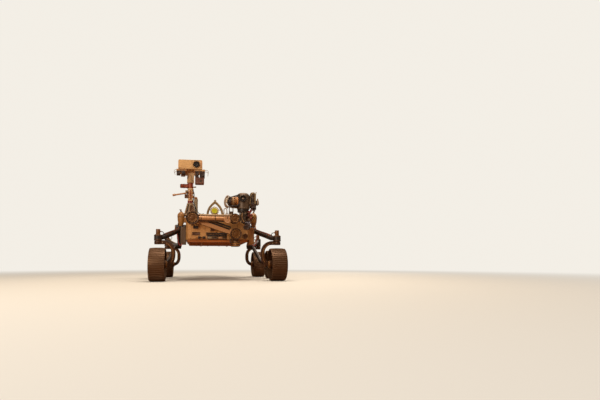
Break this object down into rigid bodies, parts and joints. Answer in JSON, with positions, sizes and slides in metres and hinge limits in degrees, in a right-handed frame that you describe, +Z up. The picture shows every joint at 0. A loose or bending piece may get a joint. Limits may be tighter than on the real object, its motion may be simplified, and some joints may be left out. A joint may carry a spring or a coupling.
{
  "type": "six-wheeled planetary rover",
  "caption": "Six-wheeled planetary rover with box body, rocker and bogie legs, steered wheels, camera mast, folding arm with drill turret, deck antennas and a finned rear power source.",
  "frame": {"origin": "on the floor under the middle of the rover's overall box", "axes": "-Y is the front, +X the rover's left side, +Z up"},
  "size_m": [2.47, 2.9917, 2.07],
  "materials": {
    "gold_film": "gold-coloured thermal film with fine creases",
    "warm_paint": "matt tan paint, dusty",
    "deck_paint": "matt grey-tan paint, dusty",
    "belly_paint": "satin orange-tan underside",
    "dark_tube": "dark brown satin coated tube",
    "fork_metal": "dark machined metal, dusty",
    "wheel_metal": "dark anodised metal with bright worn cleats",
    "head_paint": "matt cream-tan paint",
    "lens_dark": "dark glossy lens housing",
    "window_glass": "dark maroon coated window",
    "mast_paint": "matt pale grey-tan tube",
    "drive_red": "rust-red satin housing",
    "arm_paint": "light tan satin tube",
    "arm_joint": "brown joint housing",
    "turret_paint": "grey-olive satin housing",
    "barrel_orange": "tan-orange satin barrel",
    "hoop_metal": "grey-olive brushed metal",
    "disc_yellow": "bright yellow disc",
    "white_paint": "dusty white paint",
    "dark_fins": "dusty dark grey fins"
  },
  "bodies": {
    "root": {"chassis_body": "gold_film", "top_deck": "deck_paint", "belly_pan": "belly_paint", "front_panel": "gold_film", "side_housings": "warm_paint", "corner_housings": "warm_paint", "rocker_right": "dark_tube", "rocker_left": "dark_tube", "bogie_right": "dark_tube", "bogie_left": "dark_tube", "differential_bar": "hoop_metal", "mast_base": "mast_paint", "mast_tube": "mast_paint", "weather_booms": "arm_joint", "arm_mount": "arm_joint", "deck_hoop": "hoop_metal", "deck_disc": "disc_yellow", "deck_units": "deck_paint", "relay_antenna": "mast_paint", "low_gain_antenna": "white_paint", "antenna_base": "white_paint", "power_source": "dark_fins", "source_mount": "fork_metal", "heat_plates": "white_paint", "hazard_cameras": "lens_dark"},
    "mast_stage": {"mast_turning_stage": "drive_red", "mast_neck": "mast_paint"},
    "mast_head_unit": {"camera_bar": "warm_paint", "mast_cameras": "lens_dark", "camera_pod": "arm_joint", "mast_head": "head_paint", "head_window": "window_glass"},
    "arm_shoulder_unit": {"arm_shoulder": "arm_joint"},
    "arm_upper": {"upper_arm": "arm_paint"},
    "arm_fore": {"forearm": "arm_paint"},
    "arm_wrist_unit": {"arm_wrist": "arm_joint"},
    "arm_turret": {"turret_body": "turret_paint", "turret_barrel": "barrel_orange", "coring_drill": "fork_metal"},
    "antenna_stage": {"antenna_gimbal": "hoop_metal"},
    "antenna_panel": {"antenna_dish": "white_paint"},
    "fork_front_right": {"steering_fork_front_right": "fork_metal"},
    "rolling_front_right": {"wheel_front_right": "wheel_metal"},
    "fork_front_left": {"steering_fork_front_left": "fork_metal"},
    "rolling_front_left": {"wheel_front_left": "wheel_metal"},
    "rolling_mid_right": {"wheel_mid_right": "wheel_metal"},
    "rolling_mid_left": {"wheel_mid_left": "wheel_metal"},
    "fork_rear_right": {"steering_fork_rear_right": "fork_metal"},
    "rolling_rear_right": {"wheel_rear_right": "wheel_metal"},
    "fork_rear_left": {"steering_fork_rear_left": "fork_metal"},
    "rolling_rear_left": {"wheel_rear_left": "wheel_metal"}
  },
  "joints": [
    {"name": "steer_front_right", "type": "hinge", "parent": "root", "child": "fork_front_right", "pos_m": [-0.975, -1.23, 0.65], "axis": [0, 0, 1], "range_deg": [-95, 95]},
    {"name": "roll_front_right", "type": "hinge", "parent": "fork_front_right", "child": "rolling_front_right", "pos_m": [-0.975, -1.23, 0.27], "axis": [1, 0, 0], "continuous": true},
    {"name": "steer_front_left", "type": "hinge", "parent": "root", "child": "fork_front_left", "pos_m": [0.975, -1.23, 0.65], "axis": [0, 0, 1], "range_deg": [-95, 95]},
    {"name": "roll_front_left", "type": "hinge", "parent": "fork_front_left", "child": "rolling_front_left", "pos_m": [0.975, -1.23, 0.27], "axis": [1, 0, 0], "continuous": true},
    {"name": "roll_mid_right", "type": "hinge", "parent": "root", "child": "rolling_mid_right", "pos_m": [-1.11, -0.15, 0.27], "axis": [1, 0, 0], "continuous": true},
    {"name": "roll_mid_left", "type": "hinge", "parent": "root", "child": "rolling_mid_left", "pos_m": [1.11, -0.15, 0.27], "axis": [1, 0, 0], "continuous": true},
    {"name": "steer_rear_right", "type": "hinge", "parent": "root", "child": "fork_rear_right", "pos_m": [-0.975, 0.8, 0.65], "axis": [0, 0, 1], "range_deg": [-95, 95]},
    {"name": "roll_rear_right", "type": "hinge", "parent": "fork_rear_right", "child": "rolling_rear_right", "pos_m": [-0.975, 0.8, 0.27], "axis": [1, 0, 0], "continuous": true},
    {"name": "steer_rear_left", "type": "hinge", "parent": "root", "child": "fork_rear_left", "pos_m": [0.975, 0.8, 0.65], "axis": [0, 0, 1], "range_deg": [-95, 95]},
    {"name": "roll_rear_left", "type": "hinge", "parent": "fork_rear_left", "child": "rolling_rear_left", "pos_m": [0.975, 0.8, 0.27], "axis": [1, 0, 0], "continuous": true},
    {"name": "mast_turn", "type": "hinge", "parent": "root", "child": "mast_stage", "pos_m": [-0.476, -0.78, 1.6], "axis": [0, 0, 1], "range_deg": [-180, 180]},
    {"name": "mast_tilt", "type": "hinge", "parent": "mast_stage", "child": "mast_head_unit", "pos_m": [-0.476, -0.78, 1.858], "axis": [-1, 0, 0], "range_deg": [-87, 91]},
    {"name": "arm_turn", "type": "hinge", "parent": "root", "child": "arm_shoulder_unit", "pos_m": [0.288, -1.19, 0.66], "axis": [0, 0, 1], "range_deg": [0, 170]},
    {"name": "arm_lift", "type": "hinge", "parent": "arm_shoulder_unit", "child": "arm_upper", "pos_m": [0.288, -1.19, 0.775], "axis": [0, 1, 0], "range_deg": [-60, 45]},
    {"name": "arm_elbow", "type": "hinge", "parent": "arm_upper", "child": "arm_fore", "pos_m": [-0.43, -1.19, 1.024], "axis": [0, -1, 0], "range_deg": [0, 160]},
    {"name": "arm_wrist_bend", "type": "hinge", "parent": "arm_fore", "child": "arm_wrist_unit", "pos_m": [0.262, -1.19, 1.022], "axis": [0, 1, 0], "range_deg": [-45, 42]},
    {"name": "turret_turn", "type": "hinge", "parent": "arm_wrist_unit", "child": "arm_turret", "pos_m": [0.41, -1.19, 1.19], "axis": [0, 0, 1], "range_deg": [-175, 175]},
    {"name": "antenna_turn", "type": "hinge", "parent": "root", "child": "antenna_stage", "pos_m": [0.325, 0.15, 1.22], "axis": [0, 0, 1], "range_deg": [-180, 180]},
    {"name": "antenna_tilt", "type": "hinge", "parent": "antenna_stage", "child": "antenna_panel", "pos_m": [0.325, 0.15, 1.5], "axis": [-1, 0, 0], "range_deg": [-30, 60]}
  ]
}
